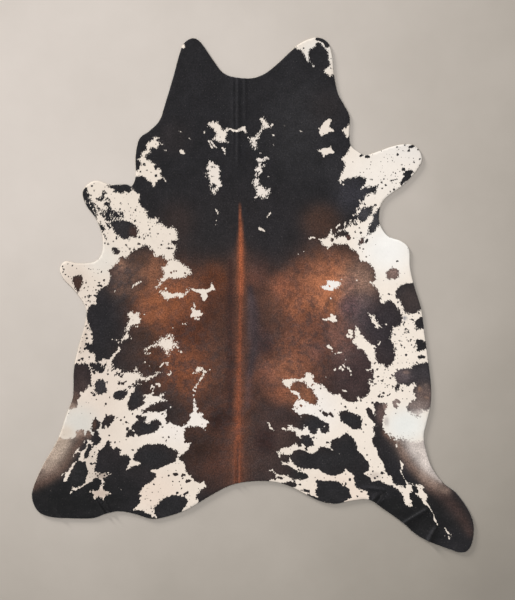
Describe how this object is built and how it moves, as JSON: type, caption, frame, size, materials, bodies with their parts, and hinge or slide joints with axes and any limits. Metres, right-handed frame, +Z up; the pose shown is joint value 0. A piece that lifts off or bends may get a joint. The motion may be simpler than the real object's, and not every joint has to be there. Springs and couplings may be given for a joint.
{
  "type": "cowhide rug",
  "caption": "Whole hair-on cowhide laid flat as a floor rug, with short forelegs, long hind legs and a forked neck end, spotted black, brown and white.",
  "frame": {"origin": "middle of the rug's outer box, on the floor", "axes": "+Y towards the neck end of the hide, +Z up off the floor, +X to the right as seen from above with the neck end away"},
  "size_m": [1.9744, 2.3, 0.013],
  "materials": {
    "cowhide": "short glossy hair on tanned skin, black, brown and cream in patches, suede on the underside"
  },
  "bodies": {
    "root": {"hide": "cowhide"}
  },
  "joints": []
}
